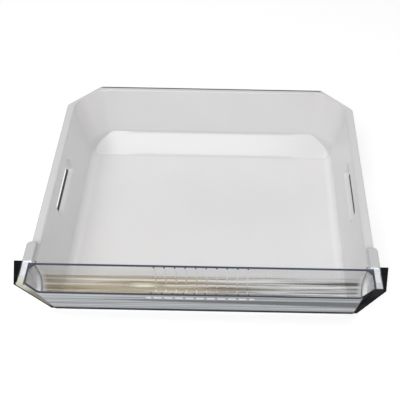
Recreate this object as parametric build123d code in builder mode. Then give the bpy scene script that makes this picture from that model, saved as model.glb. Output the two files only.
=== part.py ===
"""Freezer drawer: a white moulded tub, closed in front by a clear panel with a finger trough."""
import os
from math import atan, cos, radians, tan

from build123d import *

os.makedirs("parts", exist_ok=True)

# Driving sizes in millimetres: X across the drawer, Y towards its rear, Z up from its underside.
overall_depth = 356.2
tub_width = 430.0
rim_height = 115.0
rim_width = 11.4
rear_rim = 7.6
skirt_height = 9.0
corner_cut_x = 45.0
corner_cut_y = 41.0
corner_round = 12.0
mouth_cut_x = 35.0
mouth_cut_y = 24.0
wall = 2.5
floor_thickness = 2.5
wall_draft = 3.2
upright_round = 28.0
floor_round = 10.0
ramp_height = 25.0
ramp_depth = 28.0
rim_bevel = 1.4
bevel_angle = 45.0

# Raised cheeks at the front of the side rims, and the horns that embrace the trough.
cheek_rise = 12.5
cheek_length = 48.0
cheek_setback = 21.2
cheek_round = 5.0
horn_width = 7.7
sill_height = 14.0

# Hand slots in the side walls, each with a collar that stands outwards.
slot_length = 88.0
slot_height = 28.0
slot_round = 6.0
slot_y = 8.6
slot_drop = 34.0

# Clear front panel: a leaning wall with a bay for the trough, shoulders and side returns.
panel_wall = 2.4
panel_lean = 37.4
bay_depth = 10.7
bay_foot = 0.8
facet_width = 17.0
return_flare = 13.0
return_length = 31.6
crease_round = 12.0
return_round = 4.5
trough_width = 37.05
trough_radius = 24.5
trough_straight = 21.5
trough_end_cut = 6.0
rib_count = 10
rib_pitch = 12.6
rib_width = 1.8
rib_height = 1.5

# Room between the two mouldings, and the reach of cutting tools past the surfaces they cut.
seat_gap = 0.3
past = 30.0

# Heights and depths that follow from the sizes above.
half_width = tub_width / 2
rear_y = overall_depth / 2
lip_y = -overall_depth / 2
top_z = rim_height + cheek_rise
panel_bottom = floor_thickness + seat_gap
panel_height = top_z - panel_bottom
inner_half = half_width - rim_width
mouth_rear = rear_y - rear_rim
cheek_front = lip_y + cheek_setback
cheek_rear = cheek_front + cheek_length
slot_z = rim_height - slot_drop
draft_slope = tan(radians(wall_draft))
ramp_slope = ramp_height / ramp_depth
ramp_foot_y = mouth_rear - (rim_height - floor_thickness) * draft_slope - ramp_depth

# Outline of the clear panel at its top and bottom edges.
shoulder_y = lip_y + bay_depth
panel_foot_y = lip_y + panel_lean
trough_half = half_width - horn_width - seat_gap - panel_wall
trough_rear = lip_y + trough_width
return_rear = shoulder_y + return_length
flare_slope = tan(radians(return_flare))
shoulder_slope = (panel_foot_y - shoulder_y) / panel_height
bay_slope = (panel_foot_y - bay_foot - lip_y) / panel_height
corner_x = half_width + seat_gap + panel_wall
corner_foot_x = corner_x - panel_height * draft_slope
facet_foot = facet_width * bay_foot / bay_depth

# Where the tub's front edge meets the inside of the panel's shoulders.
seat_depth = panel_wall / cos(atan(shoulder_slope)) + seat_gap
seat_foot_y = panel_foot_y + seat_depth
seat_z = panel_bottom + (seat_foot_y - cheek_front) / shoulder_slope
arc_z = top_z - trough_straight
horn_z = top_z - panel_wall - seat_gap


def trough_profile(growth, front, top):
    """Closed side view of the trough: a straight rear wall on a quarter round, open forwards."""
    centre_y = trough_rear - trough_radius
    radius = trough_radius + growth
    with BuildSketch() as profile:
        with BuildLine():
            rear = Line((trough_rear + growth, top), (trough_rear + growth, arc_z))
            bend = CenterArc((centre_y, arc_z), radius, 0, -90)
            Polyline(bend @ 1, (front, arc_z - radius), (front, top), rear @ 0)
        make_face()
    return profile.sketch


def tub_form(outline, growth, bottom, ramp_z):
    """Drafted block below an outline at rim height, with rounded corners and a ramp at its rear."""
    with BuildPart() as form:
        with BuildSketch(Plane.XY.offset(rim_height)):
            add(outline)
        extrude(amount=bottom - rim_height, taper=wall_draft)
        uprights = form.edges().filter_by(lambda edge: abs((edge @ 0 - edge @ 1).Z) > floor_round)
        fillet(uprights.sort_by(Axis.Y)[2:], upright_round + growth)
        fillet(form.faces().sort_by(Axis.Z)[0].edges(), floor_round + growth)
        with BuildSketch(Plane.YZ):
            with BuildLine():
                Polyline(
                    (ramp_foot_y - past, ramp_z - past * ramp_slope),
                    (rear_y + past, ramp_z - past * ramp_slope),
                    (rear_y + past, ramp_z + (rear_y + past - ramp_foot_y) * ramp_slope),
                    close=True,
                )
            make_face()
        extrude(amount=half_width, both=True, mode=Mode.SUBTRACT)
    return form.part


# Outlines of the rim and of the tub's mouth inside it, seen from above. Both run on past the open
# front, where they are cut off later; the rim is wide along the sides and narrow round the rear.
with BuildSketch() as rim_outline:
    with BuildLine():
        Polyline(
            (-half_width, lip_y - past),
            (half_width, lip_y - past),
            (half_width, rear_y - corner_cut_y),
            (half_width - corner_cut_x, rear_y),
            (corner_cut_x - half_width, rear_y),
            (-half_width, rear_y - corner_cut_y),
            close=True,
        )
    make_face()
with BuildSketch() as mouth_outline:
    with BuildLine():
        Polyline(
            (-inner_half, lip_y - past),
            (inner_half, lip_y - past),
            (inner_half, mouth_rear - mouth_cut_y),
            (inner_half - mouth_cut_x, mouth_rear),
            (mouth_cut_x - inner_half, mouth_rear),
            (-inner_half, mouth_rear - mouth_cut_y),
            close=True,
        )
    make_face()
with BuildSketch() as wall_outline:
    add(mouth_outline.sketch)
    offset(amount=wall, kind=Kind.INTERSECTION)

wall_form = tub_form(wall_outline.sketch, wall, 0, floor_thickness - wall / cos(atan(ramp_slope)))
cavity_form = tub_form(mouth_outline.sketch, 0, floor_thickness, floor_thickness)

# Tub: walls, floor, rim and cheeks are one white moulding, open towards the front.
with BuildPart() as tub:
    add(wall_form)
    with BuildSketch(Plane.XY.offset(rim_height)) as rim_plate:
        add(rim_outline.sketch)
        fillet(rim_plate.vertices().sort_by(Axis.Y)[2:], corner_round)
    extrude(amount=-wall)
    with BuildSketch(Plane.XY.offset(rim_height)):
        add(rim_plate.sketch_local)
        offset(amount=-wall, mode=Mode.SUBTRACT)
    extrude(amount=-skirt_height)

    # Cheek blocks across the full width; the cavity later leaves only their two ends.
    with BuildSketch(Plane.XY.offset(top_z)) as cheeks:
        with BuildLine():
            Polyline(
                (-half_width, cheek_front),
                (half_width, cheek_front),
                (half_width, cheek_rear),
                (-half_width, cheek_rear),
                close=True,
            )
        make_face()
        fillet(cheeks.vertices().sort_by(Axis.Y)[2:], cheek_round)
    extrude(amount=-cheek_rise - skirt_height)

    # Hollow of each cheek, open below: wide behind the trough, narrow in the horn beside it.
    pocket_grow = panel_wall + seat_gap
    boss_rear = trough_rear + pocket_grow + wall
    horn_inner = half_width - horn_width + wall
    for side in (-1, 1):
        with BuildSketch(Plane.XY.offset(horn_z - wall)):
            with BuildLine():
                Polyline(
                    (side * (half_width - wall), cheek_front + wall),
                    (side * (half_width - wall), cheek_rear - wall),
                    (side * (inner_half + wall), cheek_rear - wall),
                    (side * (inner_half + wall), boss_rear),
                    (side * horn_inner, boss_rear),
                    (side * horn_inner, cheek_front + wall),
                    close=True,
                )
            make_face()
        extrude(amount=-cheek_rise - skirt_height, mode=Mode.SUBTRACT)

    # Front flange that the panel's shoulders lie against, from the cheeks down to the floor.
    with BuildSketch(Plane.YZ):
        with BuildLine():
            Polyline(
                (cheek_front, top_z),
                (cheek_front, seat_z),
                (seat_foot_y, panel_bottom),
                (seat_foot_y, 0),
                (seat_foot_y + wall, 0),
                (seat_foot_y + wall, panel_bottom),
                (cheek_front + wall, seat_z),
                (cheek_front + wall, top_z),
                close=True,
            )
        make_face()
    extrude(amount=half_width, both=True)

    # Skin round the pocket that takes each end of the trough.
    with BuildSketch(Plane.YZ):
        add(trough_profile(pocket_grow + wall, lip_y, top_z))
    extrude(amount=horn_inner, both=True)

    # Collars of the hand slots, then everything inside the tub is cleared away.
    with BuildSketch(Plane.YZ):
        with Locations((slot_y, slot_z)):
            RectangleRounded(slot_length + 2 * wall, slot_height + 2 * wall, slot_round + wall)
    extrude(amount=half_width - wall, both=True)
    add(cavity_form, mode=Mode.SUBTRACT)
    with BuildSketch(Plane.XY.offset(rim_height)):
        add(mouth_outline.sketch)
    extrude(amount=cheek_rise, mode=Mode.SUBTRACT)
    with BuildSketch(Plane.YZ):
        with Locations((slot_y, slot_z)):
            RectangleRounded(slot_length, slot_height, slot_round)
    extrude(amount=half_width, both=True, mode=Mode.SUBTRACT)

    # Pocket for the trough, and the room in front of the flange; the floor stands under the panel.
    with BuildSketch(Plane.YZ):
        add(trough_profile(pocket_grow, lip_y - past, top_z + past))
    extrude(amount=half_width - horn_width, both=True, mode=Mode.SUBTRACT)
    with BuildSketch(Plane.YZ):
        with BuildLine():
            Polyline(
                (cheek_front, top_z + past),
                (cheek_front, seat_z),
                (seat_foot_y, panel_bottom),
                (seat_foot_y, floor_thickness),
                (panel_foot_y, floor_thickness),
                (panel_foot_y, -past),
                (lip_y - 2 * past, -past),
                (lip_y - 2 * past, top_z + past),
                close=True,
            )
        make_face()
    extrude(amount=half_width, both=True, mode=Mode.SUBTRACT)

    # The horns stand lower than the cheeks, so that the panel's end covers lie flush with these.
    with BuildSketch(Plane.XY.offset(horn_z)):
        with Locations((0, return_rear + seat_gap)):
            Rectangle(tub_width, overall_depth, align=(Align.CENTER, Align.MAX))
    extrude(amount=cheek_rise, mode=Mode.SUBTRACT)

    # Low sill behind the panel's bottom edge.
    sill_half = inner_half - (rim_height - sill_height) * draft_slope
    with BuildSketch(Plane.YZ):
        with BuildLine():
            Polyline(
                (seat_foot_y, 0),
                (seat_foot_y, panel_bottom),
                (seat_foot_y - (sill_height - panel_bottom) * shoulder_slope, sill_height),
                (seat_foot_y - (sill_height - panel_bottom) * shoulder_slope + wall, sill_height),
                (seat_foot_y + wall, panel_bottom),
                (seat_foot_y + wall, 0),
                close=True,
            )
        make_face()
    extrude(amount=sill_half + wall / 2, both=True)

    # Outer sides of cheeks, skirt, flange and collars lean inwards with the mould's draft.
    foot_half = half_width - top_z * draft_slope
    with BuildSketch(Plane.XZ):
        with BuildLine():
            Polyline(
                (-half_width, top_z),
                (-foot_half, 0),
                (foot_half, 0),
                (half_width, top_z),
                close=True,
            )
        make_face()
    extrude(amount=overall_depth, both=True, mode=Mode.INTERSECT)

    # Bevel along the rim's inner edge behind the cheeks.
    with BuildSketch(Plane.XY.offset(rim_height)) as bevel:
        add(mouth_outline.sketch)
        offset(amount=rim_bevel, kind=Kind.INTERSECTION)
        fillet(bevel.vertices().sort_by(Axis.Y)[2:], upright_round + rim_bevel)
        with Locations((0, cheek_rear)):
            Rectangle(tub_width, overall_depth, align=(Align.CENTER, Align.MIN), mode=Mode.INTERSECT)
    extrude(amount=-rim_bevel, taper=bevel_angle, mode=Mode.SUBTRACT)

tub.part.label = "tub"
export_step(tub.part, "parts/tub.step")


def panel_outline(corner, notch, lip, rear, inset, bend):
    """Plan of the clear panel from its right half, drawn in by the inset, with rounded creases."""
    with BuildSketch() as outline:
        with BuildLine():
            half_line = Polyline(
                (0, rear),
                (corner[0] + (rear - corner[1]) * flare_slope, rear),
                corner,
                notch,
                lip,
                (0, lip[1]),
            )
            mirror(half_line, about=Plane.YZ)
        make_face()
        offset(amount=-inset, kind=Kind.INTERSECTION)
        lips, shoulders = outline.vertices().group_by(Axis.Y)[:2]
        notches = shoulders.sort_by(lambda vertex: abs(vertex.X))[:2]
        corners = shoulders.sort_by(lambda vertex: abs(vertex.X))[2:]
        fillet(lips, (crease_round - inset) * bend)
        fillet(notches, (crease_round + inset) * bend)
        fillet(corners, return_round - inset)
    return outline.sketch


def panel_block(inset, rear):
    """Block between the clear panel's outlines at its top and bottom edges."""
    corner = (corner_x, shoulder_y)
    notch = (trough_half, shoulder_y)
    lip = (trough_half - facet_width, lip_y)
    foot_corner = (corner_foot_x, panel_foot_y)
    foot_notch = (trough_half + facet_foot, panel_foot_y)
    foot_lip = (trough_half, panel_foot_y - bay_foot)
    with BuildPart() as block:
        with BuildSketch(Plane.XY.offset(top_z)):
            add(panel_outline(corner, notch, lip, rear, inset, 1))
        with BuildSketch(Plane.XY.offset(panel_bottom)):
            add(panel_outline(foot_corner, foot_notch, foot_lip, rear, inset, bay_foot / bay_depth))
        loft(ruled=True)
    return block.part


panel_outside = panel_block(0, return_rear)
panel_inside = panel_block(panel_wall, return_rear + past)

def trough_block(growth):
    """Block below the trough's mouth, with cut end corners, enlarged by the growth."""
    with BuildPart() as block:
        with BuildSketch(Plane.YZ):
            add(trough_profile(growth, lip_y, top_z))
        extrude(amount=trough_half + growth, both=True)
        ends = block.faces().filter_by(Axis.X).edges()
        corners = ends.filter_by(Axis.Z).sort_by(Axis.Y)[2:] + ends.filter_by(GeomType.CIRCLE)
        chamfer(corners, trough_end_cut + growth / 2)
    return block.part


# Trough: rear wall, quarter round and ends with cut corners, trimmed to the panel's outer faces.
with BuildPart() as trough_form:
    add(trough_block(panel_wall))
    add(trough_block(0), mode=Mode.SUBTRACT)
    add(panel_outside, mode=Mode.INTERSECT)

# Covers over the tub's horns, from the ends of the trough to the returns.
with BuildPart() as cover_form:
    with BuildSketch(Plane.XY.offset(top_z)):
        Rectangle(2 * (corner_x + past), overall_depth)
        Rectangle(2 * (trough_half - trough_end_cut), overall_depth, mode=Mode.SUBTRACT)
    extrude(amount=-panel_wall)
    add(panel_outside, mode=Mode.INTERSECT)
    add(trough_block(0), mode=Mode.SUBTRACT)

# One grip rib: a low band that follows the rear wall, the quarter round and the front wall.
with BuildPart() as rib_form:
    with BuildSketch(Plane.YZ):
        add(trough_profile(0, lip_y, top_z))
    extrude(amount=rib_width / 2, both=True)
    rib_front = lip_y + panel_wall + rib_height
    with BuildSketch(Plane.YZ) as grip:
        add(trough_profile(-rib_height, lip_y, top_z))
        with BuildLine():
            Polyline(
                (rib_front, top_z),
                (rib_front + panel_height * bay_slope, panel_bottom),
                (lip_y - past, panel_bottom),
                (lip_y - past, top_z),
                close=True,
            )
        make_face(mode=Mode.SUBTRACT)
    extrude(amount=rib_width, both=True, mode=Mode.SUBTRACT)
    add(panel_outside, mode=Mode.INTERSECT)

# Front panel: clear moulding, open to the rear, with the trough and its grip ribs moulded in.
with BuildPart() as front_panel:
    add(panel_outside)
    add(panel_inside, mode=Mode.SUBTRACT)
    add(trough_form.part)
    add(cover_form.part)
    with GridLocations(rib_pitch, 0, rib_count, 1):
        add(rib_form.part)

front_panel.part.label = "front_panel"
export_step(front_panel.part, "parts/front_panel.step")
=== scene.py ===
"""Freezer drawer: the look of the white tub and its clear front panel, on a pale studio floor."""
import math

import bpy
import numpy as np
from mathutils import Matrix, Vector


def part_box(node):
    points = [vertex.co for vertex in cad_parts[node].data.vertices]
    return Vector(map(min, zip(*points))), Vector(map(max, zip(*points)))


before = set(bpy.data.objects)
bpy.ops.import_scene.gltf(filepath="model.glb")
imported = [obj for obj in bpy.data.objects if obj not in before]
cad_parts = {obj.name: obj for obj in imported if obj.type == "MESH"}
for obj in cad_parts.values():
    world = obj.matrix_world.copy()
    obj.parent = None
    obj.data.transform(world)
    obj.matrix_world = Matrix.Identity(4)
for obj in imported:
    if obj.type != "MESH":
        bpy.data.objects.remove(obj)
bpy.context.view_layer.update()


# Tub. The real piece is one injection moulding in white polystyrene, with a satin gloss
# from the polished mould. It is the body of the drawer and carries everything else.
# The helpers below wire nodes in the tree that make and join belong to at the time.
def socket(shader, name, value):
    """Sets one plain value on a shader's own socket."""
    shader.inputs[name].default_value = value


def sums(operation, first, second):
    """One arithmetic step on node outputs or plain numbers; gives the result's output."""
    step = make("ShaderNodeMath")
    step.operation = operation
    for slot, value in enumerate((first, second)):
        if isinstance(value, (int, float)):
            step.inputs[slot].default_value = value
        else:
            join(value, step.inputs[slot])
    return step.outputs["Value"]


def times(first, *others):
    """Product of several outputs or numbers: where masks overlap."""
    for other in others:
        first = sums("MULTIPLY", first, other)
    return first


def most(first, *others):
    """Largest of several outputs or numbers: masks laid side by side."""
    for other in others:
        first = sums("MAXIMUM", first, other)
    return first


def apart(value, middle):
    """How far a value lies from a middle, to either side."""
    return sums("ABSOLUTE", sums("SUBTRACT", value, middle), 0.0)


def fade(value, start, end, low=0.0, high=1.0):
    """Smooth step of a value: low before start, high after end."""
    step = make("ShaderNodeMapRange")
    step.interpolation_type = "SMOOTHSTEP"
    join(value, step.inputs["Value"])
    for name, number in (("From Min", start), ("From Max", end), ("To Min", low), ("To Max", high)):
        socket(step, name, number)
    return step.outputs["Result"]


def blend(share, under, over):
    """Colour between two colours, each a plain colour or an output, by a share from 0 to 1."""
    step = make("ShaderNodeMix")
    step.data_type = "RGBA"
    join(share, step.inputs[0])
    for slot, colour in ((6, under), (7, over)):
        if isinstance(colour, tuple):
            step.inputs[slot].default_value = (*colour, 1)
        else:
            join(colour, step.inputs[slot])
    return step.outputs[2]


def noise(place, scale, detail):
    """Noise over the piece's own coordinates."""
    pattern = make("ShaderNodeTexNoise")
    socket(pattern, "Scale", scale)
    socket(pattern, "Detail", detail)
    join(place, pattern.inputs["Vector"])
    return pattern


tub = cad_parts["tub"]
tub_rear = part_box("tub")[1][1]
rim_under, horn_under = 0.1120, 0.1165
ramp_top, ramp_front = 0.026, 0.130
floor_edge = 0.184
slot_middle, slot_half, slot_foot, slot_reach = 0.0086, 0.0445, 0.0655, 0.2075

white = bpy.data.materials.new("white_polystyrene")
white.use_nodes = True
tree = white.node_tree
make, join = tree.nodes.new, tree.links.new
plastic = tree.nodes["Principled BSDF"]
socket(plastic, "IOR", 1.55)
socket(plastic, "Specular IOR Level", 0.5)

place = make("ShaderNodeTexCoord").outputs["Object"]
cloud = noise(place, 9.0, 3.0)
tone = make("ShaderNodeValToRGB")
warm_white, cool_white = tone.color_ramp.elements
warm_white.position, cool_white.position = 0.30, 0.70
warm_white.color = (0.850, 0.836, 0.830, 1)
cool_white.color = (0.862, 0.862, 0.872, 1)
join(cloud.outputs["Fac"], tone.inputs["Fac"])

# Painted light and shade set by place, as they look in the photograph: a painted highlight along the
# floor's edge, painted shade on the ramp, rim and horns, and dark lines of painted shade at the rear
# edge of the rim and at the sills of the hand slots.
axes = make("ShaderNodeSeparateXYZ")
join(place, axes.inputs["Vector"])
across, back, up = axes.outputs["X"], axes.outputs["Y"], axes.outputs["Z"]
reach = sums("ABSOLUTE", across, 0.0)
# Painted highlight: a paler band along the floor's edge.
foot_highlight = times(fade(reach, floor_edge, floor_edge + 0.007), fade(up, 0.010, 0.016, 1.0, 0.0))
# Painted shade: the ramp, the rim and the horns are greyed by place.
ramp = times(fade(up, ramp_top, ramp_top + 0.008, 1.0, 0.0), fade(back, ramp_front, ramp_front + 0.012))
rim_shade = fade(up, rim_under, rim_under + 0.0020, 0.0, 0.55)
horn_shade = fade(up, horn_under, horn_under + 0.0050, 0.0, 0.85)
colour = blend(times(foot_highlight, 0.7), tone.outputs["Color"], (0.95, 0.95, 0.955))
colour = blend(times(ramp, 0.6), colour, (0.76, 0.758, 0.76))
colour = blend(rim_shade, colour, (0.66, 0.655, 0.65))
colour = blend(horn_shade, colour, (0.58, 0.58, 0.59))
# Painted shade: dark lines at the rear edge of the rim and painted shadow at the sills of the hand slots.
rear_edge_shade = times(fade(back, tub_rear - 0.0025, tub_rear - 0.0017), fade(up, 0.110, 0.112))
slot_sill_shadow = times(fade(apart(back, slot_middle), slot_half, slot_half + 0.0010, 1.0, 0.0),
                  fade(up, slot_foot, slot_foot + 0.0010),
                  fade(up, slot_foot + 0.0030, slot_foot + 0.0040, 1.0, 0.0),
                  fade(reach, slot_reach, slot_reach + 0.0015))
colour = blend(most(rear_edge_shade, slot_sill_shadow), colour, (0.055, 0.055, 0.060))
join(colour, plastic.inputs["Base Color"])

gloss = make("ShaderNodeMapRange")
for name, number in (("From Min", 0.3), ("From Max", 0.7), ("To Min", 0.20), ("To Max", 0.27)):
    socket(gloss, name, number)
join(cloud.outputs["Fac"], gloss.inputs["Value"])
join(gloss.outputs["Result"], plastic.inputs["Roughness"])

# Every edge is a little soft, and the creases in the middle of the ramp are broad.
edges = make("ShaderNodeMix")
edges.data_type = "VECTOR"
on_ramp = times(fade(up, 0.040, 0.046, 1.0, 0.0), fade(back, 0.112, 0.122), fade(reach, 0.125, 0.150, 1.0, 0.0))
join(on_ramp, edges.inputs[0])
for slot, radius in ((4, 0.0016), (5, 0.008)):
    edge = make("ShaderNodeBevel")
    edge.samples = 6
    socket(edge, "Radius", radius)
    join(edge.outputs["Normal"], edges.inputs[slot])
grain = noise(place, 900.0, 2.0)
skin = make("ShaderNodeBump")
socket(skin, "Strength", 0.02)
socket(skin, "Distance", 0.0004)
join(grain.outputs["Fac"], skin.inputs["Height"])
join(edges.outputs[1], skin.inputs["Normal"])
join(skin.outputs["Normal"], plastic.inputs["Normal"])
tub.data.materials.clear()
tub.data.materials.append(white)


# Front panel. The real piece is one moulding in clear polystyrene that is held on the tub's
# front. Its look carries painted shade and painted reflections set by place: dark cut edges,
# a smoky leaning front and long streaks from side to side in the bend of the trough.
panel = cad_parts["front_panel"]
panel_low, panel_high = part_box("front_panel")
panel_front, bottom, top = panel_low[1], panel_low[2], panel_high[2]
bend_top = top - 0.0215
bay_lean, shoulder_lean, shoulder_step = 0.2935, 0.2141, 0.0107
corner_reach, corner_lean = 0.2177, 0.0559
facet_reach, facet_lean = 0.1865, 0.1363
wall_inside, wall_past = 0.0026, 0.0036
trough_end = 0.1990
cover_from, cover_to = 0.2066, 0.2074
rib_pitch, rib_row = 0.0126, 0.062

clear = bpy.data.materials.new("clear_polystyrene")
clear.use_nodes = True
tree = clear.node_tree
make, join = tree.nodes.new, tree.links.new
glassy = tree.nodes["Principled BSDF"]
socket(glassy, "IOR", 1.50)

# How far a point lies behind the bay's front, behind the shoulders' front, and outside the corners.
place = make("ShaderNodeTexCoord").outputs["Object"]
axes = make("ShaderNodeSeparateXYZ")
join(place, axes.inputs["Vector"])
across, back, up = axes.outputs["X"], axes.outputs["Y"], axes.outputs["Z"]
reach = sums("ABSOLUTE", across, 0.0)
below = sums("SUBTRACT", top, up)
inward = sums("SUBTRACT", back, panel_front)
behind = sums("SUBTRACT", inward, times(below, bay_lean))
beside = sums("SUBTRACT", sums("SUBTRACT", inward, shoulder_step), times(below, shoulder_lean))
flank = sums("ADD", sums("SUBTRACT", reach, corner_reach), times(below, corner_lean))
front = fade(behind, wall_inside, wall_past, 1.0, 0.0)
shoulder = fade(beside, wall_inside, wall_past, 1.0, 0.0)
right_half = fade(across, -0.01, 0.01)
left_half = sums("SUBTRACT", 1.0, right_half)

# Painted reflections in the bend of the trough: long light and dark streaks from side to side,
# tan to the left, grey to the right.
stretch = make("ShaderNodeMapping")
socket(stretch, "Scale", (4.0, 230.0, 230.0))
join(place, stretch.inputs["Vector"])
flow = noise(stretch.outputs["Vector"], 1.0, 5.0)
socket(flow, "Roughness", 0.55)
light_share = fade(flow.outputs["Fac"], 0.41, 0.59)
tan = blend(light_share, (0.36, 0.285, 0.17), (1.0, 0.965, 0.88))
grey = blend(light_share, (0.13, 0.125, 0.11), (0.98, 0.98, 0.97))
streak_reflection = blend(fade(across, -0.06, 0.09), tan, grey)
in_bend = times(fade(up, bend_top - 0.010, bend_top + 0.004, 1.0, 0.0),
                fade(behind, 0.003, 0.006), fade(reach, 0.1900, 0.2000, 1.0, 0.0))

# Colour of the light that goes through: clear walls, painted streak reflections, a cream left end
# as a painted reflection, and dark cut edges as painted shade.
# Painted shade: dark lines where the trough's end walls are seen edge on, and dark top edges.
end_line_shade = times(fade(apart(reach, trough_end), 0.0004, 0.0009, 1.0, 0.0), fade(behind, 0.006, 0.009))
# Painted reflection: the facet at the left end is cream.
facet_across = sums("SUBTRACT", reach, times(below, facet_lean))
facet = times(shoulder, fade(facet_across, facet_reach, facet_reach + 0.0030))
cream_reflection = times(facet, left_half)
top_edge_shade = times(fade(up, top - 0.0009, top - 0.0002), fade(reach, cover_from, cover_to, 1.0, 0.0),
            fade(back, -0.1388, -0.1382, 1.0, 0.0))
colour = blend(in_bend, (0.965, 0.97, 0.975), streak_reflection)
colour = blend(times(end_line_shade, 0.8), colour, (0.14, 0.15, 0.18))
colour = blend(cream_reflection, colour, (0.46, 0.45, 0.35))
colour = blend(top_edge_shade, colour, (0.07, 0.085, 0.12))
join(colour, glassy.inputs["Base Color"])
join(sums("SUBTRACT", 1.0, times(top_edge_shade, 0.8)), glassy.inputs["Transmission Weight"])

# A matt veil set by place over the clear plastic, of painted reflections, highlights and shade. It
# stands in for what the photograph shows in the real one, and stays put in other views: a smoky front
# of painted reflection with a dark band of painted shade, painted highlights between the grip ribs, a
# cream left end as a painted reflection, a gold painted highlight in the trough and tinted ends on the
# covers of the horns.
# Painted shade: a dark band across the leaning front.
low_side = sums("ADD", times(across, -0.09), 0.078)
front_shade_band = times(fade(up, 0.096, 0.104, 1.0, 0.0), fade(sums("SUBTRACT", up, low_side), -0.007, 0.007),
             fade(across, -0.14, -0.04, 0.35, 1.0))
# Painted highlights between the grip ribs.
rib_turn = apart(sums("FRACT", sums("DIVIDE", across, rib_pitch), 0.0), 0.5)
glint = times(fade(rib_turn, 0.10, 0.16), fade(reach, rib_row, rib_row + 0.004, 1.0, 0.0),
              fade(up, 0.104, 0.107), fade(up, 0.114, 0.118, 1.0, 0.0))
# Painted highlight: a gold spot in the trough.
gold_highlight = times(fade(apart(across, -0.072), 0.004, 0.034, 1.0, 0.0),
             fade(apart(up, 0.0895), 0.0004, 0.0024, 1.0, 0.0), fade(behind, 0.006, 0.008))
cap = times(fade(up, top - 0.0032, top - 0.0026), fade(reach, cover_from, cover_to),
            fade(flank, -0.0036, -0.0030, 1.0, 0.0), fade(beside, 0.0098, 0.0108, 1.0, 0.0))
# Painted reflections: the smoky front, streaked light and dark.
pale = blend(fade(flow.outputs["Fac"], 0.38, 0.62), (0.27, 0.285, 0.305), (0.66, 0.69, 0.73))
cream_reflection_veil = blend(fade(below, 0.010, 0.045), (0.80, 0.77, 0.62), (0.26, 0.255, 0.19))
cap_tint = blend(right_half, (0.74, 0.73, 0.62), (0.66, 0.665, 0.68))
painted_veil_colour = blend(front_shade_band, pale, (0.07, 0.08, 0.09))
painted_veil_colour = blend(glint, painted_veil_colour, (0.95, 0.97, 1.0))
painted_veil_colour = blend(cream_reflection, painted_veil_colour, cream_reflection_veil)
painted_veil_colour = blend(gold_highlight, painted_veil_colour, (1.0, 0.96, 0.80))
painted_veil_colour = blend(cap, painted_veil_colour, cap_tint)

# Painted shade like that of the cut edges: the corners with the returns, the right end and the bottom
# edge are painted black.
corner = fade(sums("SUBTRACT", flank, times(shoulder, left_half, 0.0005)), -0.0034, -0.0024)
right_end = times(facet, right_half)
hem = fade(up, bottom + 0.010, bottom + 0.028, 1.0, 0.0)
black_shade = most(times(corner, 0.99), times(right_end, 0.97), times(hem, 0.97))
shade = make("ShaderNodeBsdfDiffuse")
join(blend(black_shade, painted_veil_colour, (0.008, 0.008, 0.010)), shade.inputs["Color"])
over_front = times(most(front, cream_reflection), sums("SUBTRACT", 1.0, top_edge_shade), 0.72)
veil = most(over_front, times(gold_highlight, 0.85), times(cap, 0.85), black_shade)
body = make("ShaderNodeMixShader")
join(veil, body.inputs["Fac"])
join(glassy.outputs["BSDF"], body.inputs[1])
join(shade.outputs["BSDF"], body.inputs[2])

ripple = noise(place, 60.0, 2.0)
join(fade(ripple.outputs["Fac"], 0.2, 0.8, 0.03, 0.09), glassy.inputs["Roughness"])

# Lamp light passes straight through as through a thin film, so the tub behind is not in deep shade.
film = make("ShaderNodeBsdfTransparent")
socket(film, "Color", (0.90, 0.905, 0.91, 1))
through = make("ShaderNodeMixShader")
join(make("ShaderNodeLightPath").outputs["Is Shadow Ray"], through.inputs["Fac"])
join(body.outputs["Shader"], through.inputs[1])
join(film.outputs["BSDF"], through.inputs[2])
join(through.outputs["Shader"], tree.nodes["Material Output"].inputs["Surface"])
panel.data.materials.clear()
panel.data.materials.append(clear)


# Floor. A wide pale sheet that the drawer stands on; it turns white before the camera
# and still takes the drawer's soft shadow.
def sheet_grid(half, drop, steps):
    """Flat square: x and y run from -half to half on a grid, z is minus the drop."""
    line = np.linspace(-half, half, steps)
    x, y = np.meshgrid(line, line, indexing="ij")
    points = np.stack([x.ravel(), y.ravel(), np.full(x.size, -drop)], 1)
    corner = (np.arange(steps - 1)[:, None] * steps + np.arange(steps - 1)[None, :]).ravel()
    faces = np.stack([corner, corner + steps, corner + steps + 1, corner + 1], 1)
    return points, faces


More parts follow.
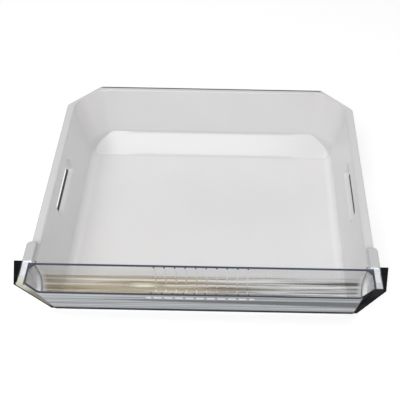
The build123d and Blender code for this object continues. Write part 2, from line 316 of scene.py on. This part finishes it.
points, faces = sheet_grid(6.0, 0.0003, 9)
floor_mesh = bpy.data.meshes.new("studio_floor")
floor_mesh.from_pydata(points.tolist(), [], faces.tolist())
floor = bpy.data.objects.new("studio_floor", floor_mesh)
bpy.context.collection.objects.link(floor)
paper = bpy.data.materials.new("pale_paper")
paper.use_nodes = True
tree = paper.node_tree
make, join = tree.nodes.new, tree.links.new
matt = tree.nodes["Principled BSDF"]
socket(matt, "Base Color", (0.82, 0.82, 0.82, 1))
socket(matt, "Roughness", 0.9)
glow = make("ShaderNodeEmission")
socket(glow, "Color", (1, 1, 1, 1))
path = make("ShaderNodeLightPath").outputs
seen = most(path["Is Camera Ray"], path["Is Glossy Ray"], path["Is Transmission Ray"])
join(times(seen, 0.40), glow.inputs["Strength"])
both = make("ShaderNodeAddShader")
join(matt.outputs["BSDF"], both.inputs[0])
join(glow.outputs["Emission"], both.inputs[1])
join(both.outputs["Shader"], tree.nodes["Material Output"].inputs["Surface"])
floor_mesh.materials.append(paper)


# Studio. A pale room all round, one broad soft lamp over the front of the drawer and to its
# left, as in a shop's photo corner.
room_light, room_seen = 0.48, 1.0
world = bpy.data.worlds.new("pale_room")
bpy.context.scene.world = world
world.use_nodes = True
tree = world.node_tree
make, join = tree.nodes.new, tree.links.new
room = tree.nodes["Background"]
socket(room, "Color", (1, 1, 1, 1))
path = make("ShaderNodeLightPath").outputs
level = make("ShaderNodeMapRange")
socket(level, "To Min", room_light)
socket(level, "To Max", room_seen)
join(most(path["Is Camera Ray"], path["Is Transmission Ray"]), level.inputs["Value"])
join(level.outputs["Result"], room.inputs["Strength"])

lamp_aim = Vector((0, 0.02, 0.05))
lamp_data = bpy.data.lights.new("soft_box", "AREA")
lamp_data.shape = "RECTANGLE"
lamp_data.size = 1.3
lamp_data.size_y = 1.0
lamp_data.energy = 17.0
lamp = bpy.data.objects.new("soft_box", lamp_data)
lamp.location = (-0.25, -0.90, 1.60)
lamp.rotation_euler = (lamp_aim - lamp.location).to_track_quat("-Z", "Y").to_euler()
bpy.context.collection.objects.link(lamp)


# Camera. It stands in front of the drawer and looks down into it, turned a little on its axis.
eye_place = (0.0359, -0.4536, 0.7114)
look_down, turn = 54.75, 0.019
eye = bpy.data.cameras.new("eye")
eye.lens = 49.5
eye.sensor_width = 36.0
eye.shift_x = -0.0808
eye.clip_start = 0.01
viewer = bpy.data.objects.new("eye", eye)
tilt = Matrix.Rotation(math.radians(90 - look_down), 4, "X")
roll = Matrix.Rotation(turn, 4, "Z")
viewer.matrix_world = Matrix.Translation(eye_place) @ tilt @ roll
bpy.context.collection.objects.link(viewer)
scene = bpy.context.scene
scene.camera = viewer
scene.view_settings.view_transform = "Standard"
